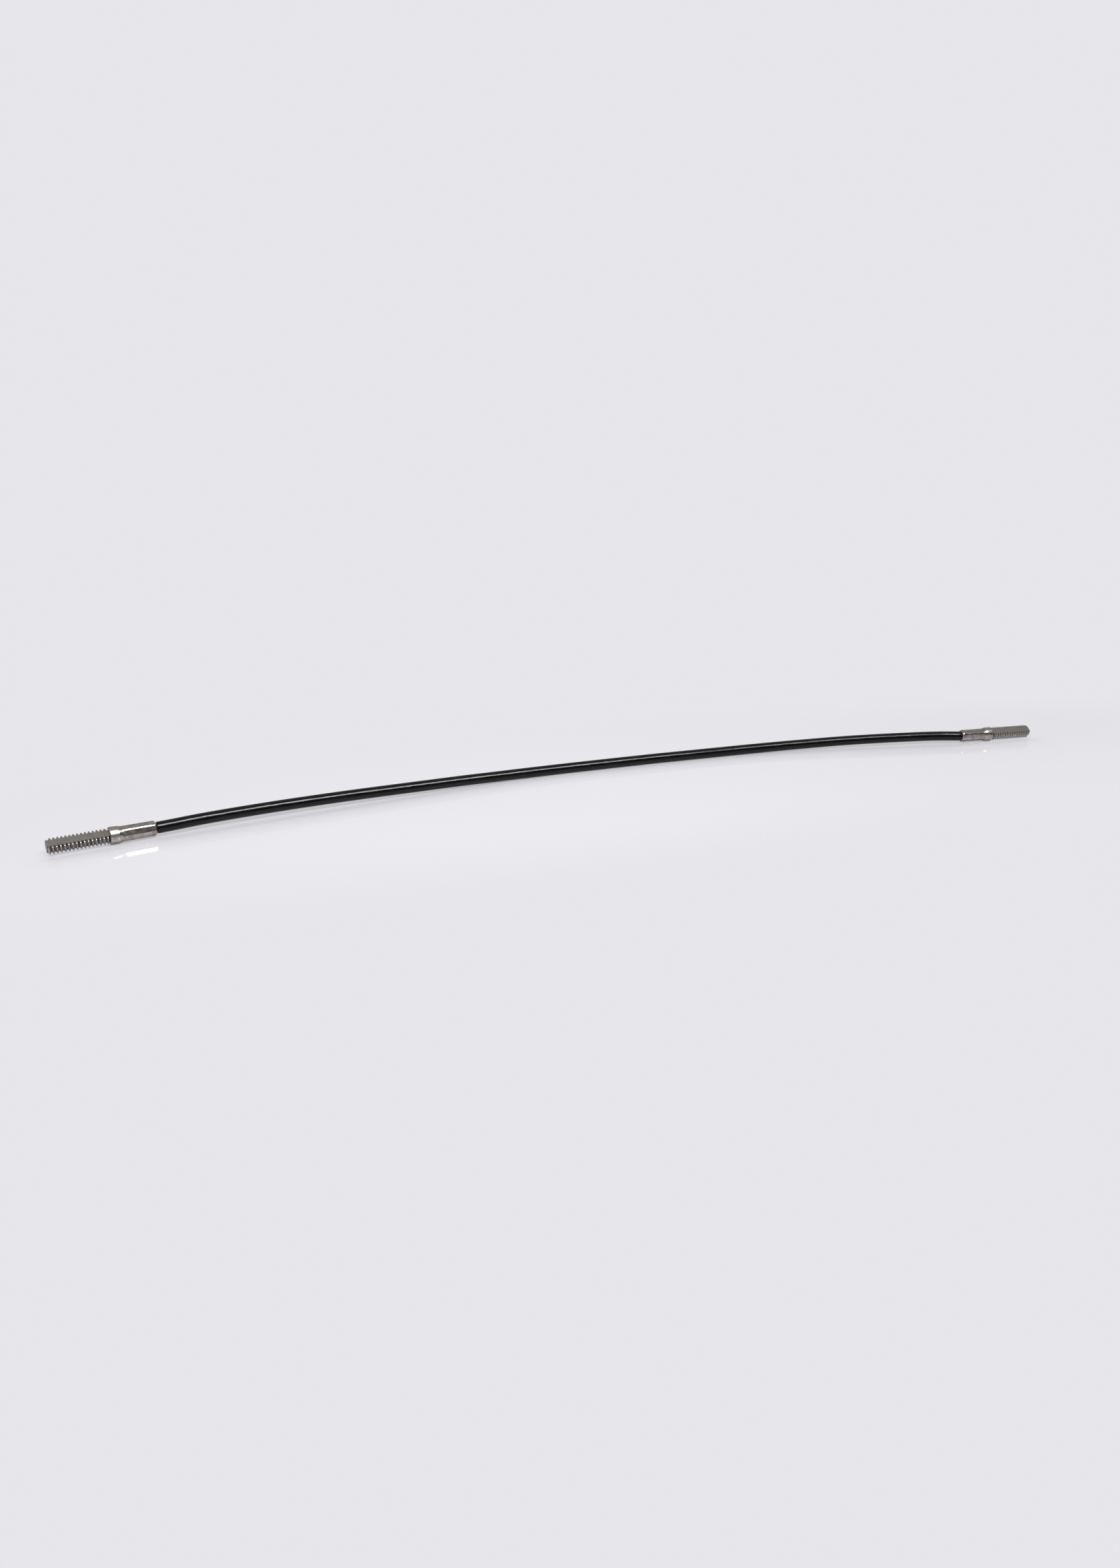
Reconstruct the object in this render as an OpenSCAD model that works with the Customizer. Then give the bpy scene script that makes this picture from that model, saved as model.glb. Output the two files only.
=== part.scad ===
// Flexible cable link: a jacketed wire strand with a flatted, threaded stud crimped on each end.
// Millimetres, +Z up, lying on z = 0. +X runs along the link, +Y is the side it bows towards.

/* [Cable] */
// Outer diameter of the plastic jacket
jacket_d = 3.6; // [3.4:0.1:4.4]
// Diameter of one wire of the strand
wire_d = 0.48; // [0.42:0.01:0.5]
// Radial clearance between the strand and the jacket
jacket_clearance = 0.03; // [0.01:0.01:0.05]
// Bare strand left between the left stud and the jacket
bare_gap = 0.3; // [0.3:0.05:2]

/* [Thread] */
// Major diameter of the thread
thread_d = 4.83; // [4.4:0.01:5]
// Distance from one thread crest to the next
thread_pitch = 1.058; // [0.8:0.001:1.27]
// Length of the thread, from the collar to the tip
thread_len = 17; // [12:0.5:25]
// Distance between the two flats milled along the thread
flats_across = 2.9; // [2.6:0.1:3.3]
// Size of the 45 degree lead at the tip
lead_chamfer = 0.7; // [0.3:0.1:0.9]
// Length over which the thread has run out, down to its root, beside the collar
neck_len = 1; // [0.5:0.1:2]
// Length of the full-diameter ring between the neck and the collar
root_ring_len = 0.25; // [0.1:0.05:0.4]

/* [Collar and crimp barrel] */
// Diameter of the round collar
collar_d = 5.3; // [5.2:0.1:6]
// Length of the round collar
collar_len = 2.6; // [2:0.1:5]
// Size of the 45 degree chamfer on the collar's thread side
collar_chamfer = 0.3; // [0.1:0.1:0.4]
// Length of the crimped hexagonal barrel
barrel_len = 10.6; // [9:0.1:14]
// Distance across the barrel's flats
hex_across = 4.32; // [4:0.02:4.5]
// Diameter over the barrel's softened corners
hex_corner_d = 4.9; // [4.7:0.05:5.1]
// Length over which the hexagon runs out into the collar
runout_len = 0.9; // [0.5:0.1:1.5]
// Size of the 45 degree chamfer at the barrel's mouth
mouth_chamfer = 0.3; // [0.1:0.1:0.4]
// Depth of the crimped strand inside each stud
strand_seat = 9.5; // [6:0.5:10]
// Radial clearance between the strand and the barrel's bore
crimp_clearance = 0.02; // [0.01:0.01:0.05]
// Space between the strand's cut end and the bottom of the bore
bore_spare = 0.5; // [0.2:0.1:1]

/* [How the studs lie] */
// Direction of the left stud, from its mouth towards the cable
left_heading = 11; // [5:0.5:15]
// Direction of the cable as it enters the right stud
right_heading = -6.5; // [-15:0.5:-5]
// Lean of the left stud's thread flats from level, towards -Y
left_flat_lean = 29; // [0:1:90]
// Lean of the right stud's thread flats from level, towards -Y
right_flat_lean = 36; // [0:1:90]
// Turn from the thread flats to the hexagon's flats on the left stud
left_hex_turn = 45; // [30:1:60]
// Turn from the thread flats to the hexagon's flats on the right stud
right_hex_turn = 52; // [30:1:60]

/* [Hidden] */
INNER_WIRES = 6;
OUTER_WIRES = 12;
$fn = 64;

STEEL = "#8f8b88";
WIRE_STEEL = "#aaa7a2";
BLACK_PLASTIC = "#141414";

// The axis of the cable, from the mouth of the left stud to the mouth of the right one. The studs
// lie on their collars, and the jacket rises a little beside them and lies on z = 0 in the middle.
ROUTE = [
    [-148.5, 2.9, 2.65], [-144, 3.7, 2.75], [-136, 5.3, 2.95], [-128, 6.8, 3], [-119, 8.2, 3.05],
    [-110, 9.5, 3.05], [-101, 10.7, 3], [-92, 11.9, 2.9], [-83, 12.9, 2.8], [-74, 13.9, 2.65],
    [-65, 14.9, 2.5], [-56, 15.9, 2.35], [-47, 16.8, 2.2], [-38, 17.5, 2.05], [-29, 18.1, 1.95],
    [-20, 18.6, 1.85], [-11, 18.9, 1.8], [-2, 18.9, 1.8], [7, 18.9, 1.8], [16, 18.8, 1.8],
    [25, 18.7, 1.8], [34, 18.4, 1.8], [43, 18.1, 1.8], [52, 17.8, 1.8], [61, 17.2, 1.9],
    [70, 16.4, 2], [79, 15.4, 2.15], [88, 14.2, 2.3], [97, 12.8, 2.5], [106, 11.2, 2.65],
    [115, 9.4, 2.75], [124, 7.5, 2.8], [132, 5.6, 2.85], [139, 3.9, 2.8], [144, 2.4, 2.7],
    [147.9, 1.2, 2.65]
];
LAST = len(ROUTE) - 1;

JACKET_SIDES = 8;
WIRE_SIDES = 6;
THREAD_HALF_ANGLE = 30;
THREAD_SIDES = 24;

// The strand: one core wire, a layer of 6 and a layer of 12, each layer one wire further out
strand_d = 5 * wire_d;
inner_ring_r = wire_d;
outer_ring_r = 2 * wire_d;
jacket_bore_r = (strand_d / 2 + jacket_clearance) / cos(180 / JACKET_SIDES);

// The run-out starts just under the hexagon's flats
RUNOUT_DIP = 0.1;
runout_r = hex_across / 2 - RUNOUT_DIP;

bore_r = strand_d / 2 + crimp_clearance;
bore_depth = strand_seat + bore_spare;
DRILL_POINT_HALF_ANGLE = 59;

crest_flat = thread_pitch / 8;
root_flat = thread_pitch / 6;
flank_len = (thread_pitch - crest_flat - root_flat) / 2;
root_r = thread_d / 2 - flank_len / tan(THREAD_HALF_ANGLE);

// One pitch of the thread's outline has four corners: both ends of the crest, then of the root
CORNERS = 4;
CORNER_SHIFT = [
    -crest_flat / 2, crest_flat / 2, crest_flat / 2 + flank_len, thread_pitch - crest_flat / 2 - flank_len
];
CORNER_R = [thread_d / 2, thread_d / 2, root_r, root_r];

// The helix is cut from a longer one: it starts inside the neck and runs on past the tip
tip_crest_back = thread_pitch / 2;
thread_turns = ceil(thread_len / thread_pitch) + 1;
first_crest = thread_len - tip_crest_back - (thread_turns - 1) * thread_pitch;
row_corners = CORNERS * (thread_turns + 1);

// How far one part of a stud reaches into the next, so that they are one solid
overlap = 0.5;

function heading_vector(angle) = [cos(angle), sin(angle), 0];
LEFT_DIRECTION = heading_vector(left_heading);
RIGHT_DIRECTION = heading_vector(right_heading);

// Direction of the cable at each point of a path: the ends are square to their studs
function path_direction(path, i) =
    i == 0 ? LEFT_DIRECTION :
    i == len(path) - 1 ? RIGHT_DIRECTION :
    (path[i + 1] - path[i - 1]) / norm(path[i + 1] - path[i - 1]);

// Points of one ring square to a direction, at an offset across and above the path
function ring(centre, direction, radius, sides, across = 0, above = 0) =
    let (
        side = cross([0, 0, 1], direction) / norm(cross([0, 0, 1], direction)),
        top = cross(direction, side)
    )
    [for (k = [0:sides - 1])
        centre + side * (across + radius * cos(360 * k / sides))
               + top * (above + radius * sin(360 * k / sides))];

// Every ring of a path, one after the other
function rings(path, radius, sides, across = 0, above = 0) =
    [for (i = [0:len(path) - 1])
        each ring(path[i], path_direction(path, i), radius, sides, across, above)];

// Triangles between neighbouring rings, facing outwards, or inwards when they line a bore
function wall_faces(count, sides, first = 0, inwards = false) =
    [for (i = [0:count - 2], k = [0:sides - 1])
        let (
            a = first + i * sides + k,
            b = first + i * sides + (k + 1) % sides,
            c = a + sides,
            d = b + sides
        )
        each inwards ? [[a, b, c], [b, d, c]] : [[a, c, b], [b, c, d]]];

// Triangles that close a solid ring, facing back along the path or forwards
function cap_faces(first, sides, forwards) =
    [for (k = [1:sides - 2])
        forwards ? [first, first + k + 1, first + k] : [first, first + k, first + k + 1]];

// Triangles between an outer ring and the bore's ring inside it
function annulus_faces(outer, inner, sides, forwards) =
    [for (k = [0:sides - 1])
        let (
            a = outer + k,
            b = outer + (k + 1) % sides,
            c = inner + k,
            d = inner + (k + 1) % sides
        )
        each forwards ? [[a, d, b], [a, c, d]] : [[a, b, d], [a, d, c]]];

// The jacket's path starts where the bare strand ends
JACKET_PATH = concat([ROUTE[0] + bare_gap * LEFT_DIRECTION], [for (i = [1:LAST]) ROUTE[i]]);

// The strand's path also runs into the bore of each stud
STRAND_PATH = concat(
    [ROUTE[0] - strand_seat * LEFT_DIRECTION],
    ROUTE,
    [ROUTE[LAST] + strand_seat * RIGHT_DIRECTION]
);

// Jacket: one tube, extruded over the strand
module jacket() {
    count = len(JACKET_PATH);
    last_ring = (count - 1) * JACKET_SIDES;
    bore = count * JACKET_SIDES;
    color(BLACK_PLASTIC)
        polyhedron(
            points = concat(
                rings(JACKET_PATH, jacket_d / 2, JACKET_SIDES),
                rings(JACKET_PATH, jacket_bore_r, JACKET_SIDES)
            ),
            faces = concat(
                wall_faces(count, JACKET_SIDES),
                wall_faces(count, JACKET_SIDES, bore, inwards = true),
                annulus_faces(0, bore, JACKET_SIDES, forwards = false),
                annulus_faces(last_ring, bore + last_ring, JACKET_SIDES, forwards = true)
            ),
            convexity = 10
        );
}

// One wire of the strand, at a distance from the strand's axis and an angle round it
module wire(distance = 0, angle = 0) {
    count = len(STRAND_PATH);
    color(WIRE_STEEL)
        polyhedron(
            points = rings(
                STRAND_PATH, wire_d / 2, WIRE_SIDES,
                across = distance * cos(angle), above = distance * sin(angle)
            ),
            faces = concat(
                wall_faces(count, WIRE_SIDES),
                cap_faces(0, WIRE_SIDES, forwards = false),
                cap_faces((count - 1) * WIRE_SIDES, WIRE_SIDES, forwards = true)
            ),
            convexity = 10
        );
}

module core_wire() {
    wire();
}

module inner_wire(i) {
    wire(inner_ring_r, 360 * i / INNER_WIRES);
}

module outer_wire(i) {
    wire(outer_ring_r, 360 * i / OUTER_WIRES);
}

// Corner i of the thread's outline in row k round the axis: its height and its radius there
function corner_z(k, i) =
    first_crest + CORNER_SHIFT[i % CORNERS]
    + thread_pitch * (floor(i / CORNERS) + k / THREAD_SIDES);
function corner_r(i, z) =
    let (into_lead = max(0, min(lead_chamfer, z - thread_len + lead_chamfer)))
    z < neck_len ? root_r : min(CORNER_R[i % CORNERS], thread_d / 2 - into_lead);
function thread_corner(k, i) =
    let (z = corner_z(k, i), r = corner_r(i, z), angle = 360 * k / THREAD_SIDES)
    [r * cos(angle), r * sin(angle), z];

// Where a corner is in the list: the row after the last is the first one, a pitch further on
function corner_index(k, i) =
    k < THREAD_SIDES ? k * row_corners + i :
    i + CORNERS < row_corners ? i + CORNERS :
    THREAD_SIDES * row_corners + i + CORNERS - row_corners;

// Right-hand helix of a 60 degree thread round local Z, closed by a point on the axis at each end
module thread_helix() {
    top = row_corners - 1;
    bottom_point = THREAD_SIDES * row_corners + CORNERS;
    top_point = bottom_point + 1;
    polyhedron(
        points = concat(
            [for (k = [0:THREAD_SIDES - 1], i = [0:top]) thread_corner(k, i)],
            [for (i = [row_corners - CORNERS:top]) thread_corner(THREAD_SIDES, i)],
            [[0, 0, corner_z(0, 0)], [0, 0, corner_z(THREAD_SIDES, top)]]
        ),
        faces = concat(
            [for (k = [0:THREAD_SIDES - 1], i = [0:top - 1])
                let (
                    a = corner_index(k, i),
                    b = corner_index(k + 1, i),
                    c = corner_index(k, i + 1),
                    d = corner_index(k + 1, i + 1)
                )
                each [[a, c, d], [a, d, b]]],
            [for (k = [0:THREAD_SIDES - 1])
                [bottom_point, corner_index(k, 0), corner_index(k + 1, 0)]],
            [for (i = [0:CORNERS - 1]) [bottom_point, corner_index(0, i + 1), corner_index(0, i)]],
            [for (k = [0:THREAD_SIDES - 1])
                [top_point, corner_index(k + 1, top), corner_index(k, top)]],
            [for (i = [top - CORNERS:top - 1])
                [top_point, corner_index(THREAD_SIDES, i), corner_index(THREAD_SIDES, i + 1)]]
        ),
        convexity = 10
    );
}

// Thread from the collar at z = 0 to the tip, with its two flats square to local X
module flatted_thread() {
    intersection() {
        union() {
            thread_helix();
            translate([0, 0, -overlap])
                cylinder(d = thread_d, h = overlap + root_ring_len);
        }
        translate([-flats_across / 2, -thread_d, -2 * overlap])
            cube([flats_across, 2 * thread_d, thread_len + 2 * overlap]);
    }
}

// Round collar that stops the stud: the hexagon runs out into it on one side, and the thread's side
// is chamfered
module collar() {
    rotate_extrude()
        polygon([
            [0, -runout_len],
            [runout_r, -runout_len],
            [collar_d / 2, 0],
            [collar_d / 2, collar_len - collar_chamfer],
            [collar_d / 2 - collar_chamfer, collar_len],
            [0, collar_len]
        ]);
}

// Hexagon left by the crimping dies, with softened corners
module crimp_barrel(hex_turn) {
    intersection() {
        rotate([0, 0, hex_turn + 30])
            cylinder(d = hex_across / cos(30), h = barrel_len + overlap, $fn = 6);
        rotate_extrude()
            polygon([
                [0, 0],
                [hex_corner_d / 2 - mouth_chamfer, 0],
                [hex_corner_d / 2, mouth_chamfer],
                [hex_corner_d / 2, barrel_len + overlap],
                [0, barrel_len + overlap]
            ]);
    }
}

// Blind bore that holds the strand, with the cone of its drill
module strand_bore() {
    translate([0, 0, -overlap])
        cylinder(r = bore_r, h = bore_depth + overlap);
    translate([0, 0, bore_depth])
        cylinder(r1 = bore_r, r2 = 0, h = bore_r / tan(DRILL_POINT_HALF_ANGLE));
}

// One stud along local Z, from the barrel's mouth at z = 0 to the tip of the thread
module stud(hex_turn) {
    color(STEEL)
        difference() {
            union() {
                crimp_barrel(hex_turn);
                translate([0, 0, barrel_len])
                    collar();
                translate([0, 0, barrel_len + collar_len])
                    flatted_thread();
            }
            strand_bore();
        }
}

// The left stud points along -X, so its local Y points towards -Y
module left_stud() {
    translate(ROUTE[0])
        rotate([0, 0, left_heading + 180])
            rotate([0, 90, 0])
                rotate([0, 0, -left_flat_lean])
                    stud(-left_hex_turn);
}

// The right stud points along +X, so its local Y points towards +Y
module right_stud() {
    translate(ROUTE[LAST])
        rotate([0, 0, right_heading])
            rotate([0, 90, 0])
                rotate([0, 0, right_flat_lean])
                    stud(right_hex_turn);
}

left_stud();
right_stud();
jacket();
core_wire();
for (i = [1:INNER_WIRES])
    inner_wire(i);
for (i = [1:OUTER_WIRES])
    outer_wire(i);
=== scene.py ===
"""Flexible cable link, dressed: a black jacketed wire strand with a threaded stud on each end.

Metres, +Z up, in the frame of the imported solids. +X runs along the link. A stud is built along its
own local Z, in millimetres, from the mouth of its crimp barrel to the tip of its thread, and its
thread flats are square to local X.
"""
import logging
import math
from bisect import bisect_right
from dataclasses import dataclass, field
from enum import Enum
from typing import Any, ClassVar, NamedTuple, Sequence

import bmesh
import bpy
from mathutils import Matrix, Vector


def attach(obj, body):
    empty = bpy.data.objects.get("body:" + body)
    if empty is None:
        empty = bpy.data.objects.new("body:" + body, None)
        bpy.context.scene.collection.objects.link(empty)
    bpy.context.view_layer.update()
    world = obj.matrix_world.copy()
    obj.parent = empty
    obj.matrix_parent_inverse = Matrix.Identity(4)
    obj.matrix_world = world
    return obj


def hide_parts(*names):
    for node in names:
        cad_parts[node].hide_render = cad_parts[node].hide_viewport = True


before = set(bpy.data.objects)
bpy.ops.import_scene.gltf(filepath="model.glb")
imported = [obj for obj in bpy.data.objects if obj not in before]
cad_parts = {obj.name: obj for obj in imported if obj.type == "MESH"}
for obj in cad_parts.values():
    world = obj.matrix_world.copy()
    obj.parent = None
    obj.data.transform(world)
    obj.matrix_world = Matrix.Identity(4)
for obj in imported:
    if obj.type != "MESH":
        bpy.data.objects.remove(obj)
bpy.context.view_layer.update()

MM = 0.001
UP = Vector((0, 0, 1))
SHARP_ANGLE = math.radians(35)
# Seven directions over a quarter circle, which round an edge
QUARTER = tuple(math.radians(15 * i) for i in range(7))
# In a stud's own millimetres: points closer than this are one, and a point this close is on a cut
SAME_POINT = 1e-5
ON_CUT = 1e-6
# The even tone of the table and of what lies behind it, as sRGB hex
BACKDROP = "E7E6EB"
# The colour sockets of a mix node: its two inputs and its output
MIX_FIRST, MIX_SECOND, MIX_RESULT = 6, 7, 2
# A stud's points keep their place in the stud's own frame under this name, in metres
OWN_PLACE = "own_place"
# The map that unrolls a tube: metres along it, and metres round it
UNROLLED = "unrolled"
# An unrolled surface is flat, so that the third size of a mark on it counts for nothing
NO_SIZE = 1.0
log = logging.getLogger("cable_link")

# The axis of the cable from the left stud's mouth to the right one's, in metres. It lies on the
# table in the middle and rises a little beside each stud, which lies on its collar.
ROUTE = (
    (-0.1485, 0.0029, 0.00265), (-0.144, 0.0037, 0.00275), (-0.136, 0.0053, 0.00295),
    (-0.128, 0.0068, 0.003), (-0.119, 0.0082, 0.00305), (-0.11, 0.0095, 0.00305),
    (-0.101, 0.0107, 0.003), (-0.092, 0.0119, 0.0029), (-0.083, 0.0129, 0.0028),
    (-0.074, 0.0139, 0.00265), (-0.065, 0.0149, 0.0025), (-0.056, 0.0159, 0.00235),
    (-0.047, 0.0168, 0.0022), (-0.038, 0.0175, 0.00205), (-0.029, 0.0181, 0.00195),
    (-0.02, 0.0186, 0.00185), (-0.011, 0.0189, 0.0018), (-0.002, 0.0189, 0.0018),
    (0.007, 0.0189, 0.0018), (0.016, 0.0188, 0.0018), (0.025, 0.0187, 0.0018),
    (0.034, 0.0184, 0.0018), (0.043, 0.0181, 0.0018), (0.052, 0.0178, 0.0018),
    (0.061, 0.0172, 0.0019), (0.07, 0.0164, 0.002), (0.079, 0.0154, 0.00215),
    (0.088, 0.0142, 0.0023), (0.097, 0.0128, 0.0025), (0.106, 0.0112, 0.00265),
    (0.115, 0.0094, 0.00275), (0.124, 0.0075, 0.0028), (0.132, 0.0056, 0.00285),
    (0.139, 0.0039, 0.0028), (0.144, 0.0024, 0.0027), (0.1479, 0.0012, 0.00265),
)
LEFT_HEADING = 11.0
RIGHT_HEADING = -6.5


class LayHand(Enum):
    """The way that a layer of wires winds round the strand."""

    RIGHT = 1
    LEFT = -1


class StudPart(Enum):
    """The surfaces of a stud, each with a finish of its own."""

    COLLAR = 0
    BARREL = 1
    BORE = 2
    THREAD = 3
    FLAT = 4


class PlaceBy(Enum):
    """Where a finish reads its place on the piece: a node, its settings and its output."""

    STUD_FRAME = ("ShaderNodeAttribute", {"attribute_name": OWN_PLACE}, "Vector")
    UNROLLED_TUBE = ("ShaderNodeUVMap", {"uv_map": UNROLLED}, "UV")
    OBJECT = ("ShaderNodeTexCoord", {}, "Object")


class LampUse(Enum):
    """What a lamp is for: whether it lights matt surfaces, and whether it is mirrored."""

    BOTH = (True, True)
    MATT = (True, False)
    MIRRORED = (False, True)


def linear_colour(hex_code: str) -> tuple[float, float, float, float]:
    """Turn an sRGB hex colour into the linear values that a shader takes.

    Args:
        hex_code: Six hex digits, red first.

    Returns:
        Linear red, green and blue, and an alpha of 1.
    """
    channels = [int(hex_code[i:i + 2], 16) / 255 for i in (0, 2, 4)]
    red, green, blue = (
        c / 12.92 if c <= 0.04045 else ((c + 0.055) / 1.055) ** 2.4 for c in channels
    )
    return red, green, blue, 1.0


def add_node(
    tree: bpy.types.NodeTree,
    kind: str,
    settings: dict[str | int, Any] | None = None,
    links: dict[str | int, bpy.types.NodeSocket] | None = None,
) -> bpy.types.Node:
    """Add one node, with its settings and its links.

    Args:
        tree: The tree that gets the node.
        kind: The type of node, by its name in code.
        settings: Values by name: a property of the node, or an input's name or number.
        links: The output that feeds each input, by the input's name or number.

    Returns:
        The new node.
    """
    node = tree.nodes.new(kind)
    for key, value in (settings or {}).items():
        if isinstance(key, str) and hasattr(node, key):
            setattr(node, key, value)
        else:
            node.inputs[key].default_value = value
    for key, source in (links or {}).items():
        tree.links.new(source, node.inputs[key])
    return node


def circle(count: int) -> list[float]:
    """List evenly spaced directions round a circle, in radians."""
    return [math.tau * k / count for k in range(count)]


def fill_ramp(node: bpy.types.Node, stops: Sequence[tuple[float, float]]) -> None:
    """Give a colour ramp its grey stops.

    Args:
        node: The colour ramp.
        stops: The place from 0 to 1 and the grey value of each stop, in order.
    """
    elements = node.color_ramp.elements
    while len(elements) < len(stops):
        elements.new(1.0)
    for element, (place, grey) in zip(elements, stops):
        element.position = place
        element.color = (grey, grey, grey, 1.0)


class Station(NamedTuple):
    """A point on the cable's axis, with the directions across and above it."""

    point: Vector
    side: Vector
    top: Vector

    def around(self, radius: float, angle: float) -> Vector:
        """Find a place round the point.

        Args:
            radius: Its distance from the point in millimetres.
            angle: Its direction, in radians from the side.

        Returns:
            The place, in metres.
        """
        return (
            self.point
            + self.side * (radius * MM * math.cos(angle))
            + self.top * (radius * MM * math.sin(angle))
        )


@dataclass
class CableRoute:
    """The cable's axis as one smooth curve, which runs on straight into each stud.

    Attributes:
        points: The points it goes through, in metres.
        left_direction: Its direction at the left stud's mouth.
        right_direction: Its direction at the right stud's mouth.
        steps: Steps between two points.
    """

    points: Sequence[Vector]
    left_direction: Vector
    right_direction: Vector
    steps: int = 24
    places: list[Vector] = field(default_factory=list, init=False)
    distances: list[float] = field(default_factory=list, init=False)

    def __post_init__(self) -> None:
        """Step along the curve once, and keep the places and the distances to them."""
        tangents = self._tangents()
        for i in range(len(self.points) - 1):
            for step in range(self.steps):
                self.places.append(self._hermite(i, step / self.steps, tangents))
        self.places.append(self.points[-1].copy())
        self.distances.append(0.0)
        for before, after in zip(self.places, self.places[1:]):
            self.distances.append(self.distances[-1] + (after - before).length)

    @property
    def length(self) -> float:
        """Length from mouth to mouth, in metres."""
        return self.distances[-1]

    def _tangents(self) -> list[Vector]:
        """Work out the curve's tangent at each point.

        Returns:
            One tangent a point, as long as the way to its neighbours.
        """
        points = self.points
        inner = [(after - before) / 2 for before, after in zip(points, points[2:])]
        first = self.left_direction * (points[1] - points[0]).length
        last = self.right_direction * (points[-1] - points[-2]).length
        return [first, *inner, last]

    def _hermite(self, i: int, t: float, tangents: Sequence[Vector]) -> Vector:
        """Find a place between two points of the curve.

        Args:
            i: The point before it.
            t: The share of the way to the next point.
            tangents: The tangent at every point.

        Returns:
            The place on the cubic.
        """
        start, end = self.points[i], self.points[i + 1]
        return (
            start * (2 * t ** 3 - 3 * t ** 2 + 1)
            + tangents[i] * (t ** 3 - 2 * t ** 2 + t)
            + end * (3 * t ** 2 - 2 * t ** 3)
            + tangents[i + 1] * (t ** 3 - t ** 2)
        )

    def at(self, distance: float) -> Station:
        """Find the axis at a distance from the left stud's mouth.

        Args:
            distance: Metres along the axis, below 0 or past the end inside a stud.

        Returns:
            The place there, with the directions across and above it.
        """
        if distance <= 0:
            point = self.points[0] + self.left_direction * distance
            direction = self.left_direction
        elif distance >= self.length:
            point = self.points[-1] + self.right_direction * (distance - self.length)
            direction = self.right_direction
        else:
            i = min(bisect_right(self.distances, distance), len(self.places) - 1)
            before, after = self.places[i - 1], self.places[i]
            direction = (after - before).normalized()
            point = before + direction * (distance - self.distances[i - 1])
        side = UP.cross(direction).normalized()
        return Station(point, side, direction.cross(side))


class Shell:
    """Points and faces of a piece, gathered ring by ring."""

    def __init__(self) -> None:
        """Start with nothing."""
        self.points: list[Vector] = []
        self.faces: list[tuple[int, ...]] = []
        self.finishes: list[int] = []
        self.unrolled: list[tuple[float, float]] = []

    def ring(self, points: Sequence[Vector]) -> list[int]:
        """Add one ring of points.

        Args:
            points: The ring, in order.

        Returns:
            The points' numbers.
        """
        first = len(self.points)
        self.points.extend(points)
        return list(range(first, len(self.points)))

    def band(
        self,
        first: Sequence[int],
        second: Sequence[int],
        finish: int = 0,
        along: tuple[float, float] = (0.0, 0.0),
        girth: float = 0.0,
    ) -> None:
        """Join two rings with a band of faces.

        Args:
            first: One ring's points.
            second: The next ring's points.
            finish: The number of the band's finish.
            along: The distance along the piece at each ring, for the unrolled surface.
            girth: The distance round the piece, for the unrolled surface.
        """
        sides = len(first)
        for k in range(sides):
            n = (k + 1) % sides
            self.faces.append((first[k], first[n], second[n], second[k]))
            self.finishes.append(finish)
            low, high = girth * k / sides, girth * (k + 1) / sides
            self.unrolled += [
                (along[0], low), (along[0], high), (along[1], high), (along[1], low)
            ]

    def cap(self, ring: Sequence[int], centre: Vector, finish: int = 0) -> None:
        """Close a ring with a fan of triangles.

        Args:
            ring: The ring's points.
            centre: Where the triangles meet.
            finish: The number of the fan's finish.
        """
        middle = self.ring([centre])[0]
        for k, point in enumerate(ring):
            self.faces.append((point, ring[(k + 1) % len(ring)], middle))
            self.finishes.append(finish)
            self.unrolled += [(0.0, 0.0)] * 3

    def mesh(self, name: str) -> bpy.types.Mesh:
        """Make the mesh, with smooth faces that point outwards.

        Args:
            name: The mesh's name.

        Returns:
            The mesh, with its unrolled surface as a UV map where it has one.
        """
        mesh = bpy.data.meshes.new(name)
        mesh.from_pydata(self.points, [], self.faces)
        mesh.polygons.foreach_set("material_index", self.finishes)
        if any(pair != (0.0, 0.0) for pair in self.unrolled):
            uvs = mesh.uv_layers.new(name=UNROLLED)
            uvs.data.foreach_set("uv", [value for pair in self.unrolled for value in pair])
        form = bmesh.new()
        form.from_mesh(mesh)
        bmesh.ops.recalc_face_normals(form, faces=form.faces)
        for face in form.faces:
            face.smooth = True
        form.to_mesh(mesh)
        form.free()
        mesh.set_sharp_from_angle(angle=SHARP_ANGLE)
        return mesh


def marks(
    tree: bpy.types.NodeTree,
    place: bpy.types.NodeSocket,
    sizes: tuple[float, float, float],
    detail: float,
) -> bpy.types.NodeSocket:
    """Add a random pattern of marks that are longer one way than another.

    Args:
        tree: The material's nodes.
        place: The place on the piece.
        sizes: Size of the marks along each axis of the place, in millimetres.
        detail: Number of finer layers.

    Returns:
        The pattern.
    """
    stretched = add_node(
        tree, "ShaderNodeVectorMath",
        {"operation": "MULTIPLY", 1: [1 / (size * MM) for size in sizes]}, {0: place},
    )
    return add_node(
        tree, "ShaderNodeTexNoise", {"Scale": 1.0, "Detail": detail}, {0: stretched.outputs[0]}
    ).outputs[0]


def axis_distance(
    tree: bpy.types.NodeTree, place: bpy.types.NodeSocket
) -> bpy.types.NodeSocket:
    """Work out the distance from a stud's axis.

    Args:
        tree: The material's nodes.
        place: The place in the stud's own frame.

    Returns:
        The distance in metres.
    """
    across = add_node(
        tree, "ShaderNodeVectorMath", {"operation": "MULTIPLY", 1: (1, 1, 0)}, {0: place}
    )
    return add_node(
        tree, "ShaderNodeVectorMath", {"operation": "LENGTH"}, {0: across.outputs[0]}
    ).outputs["Value"]


class Surface(NamedTuple):
    """A material in the making: its nodes, its main shader and the place on the piece."""

    tree: bpy.types.NodeTree
    shader: bpy.types.Node
    place: bpy.types.NodeSocket


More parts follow.
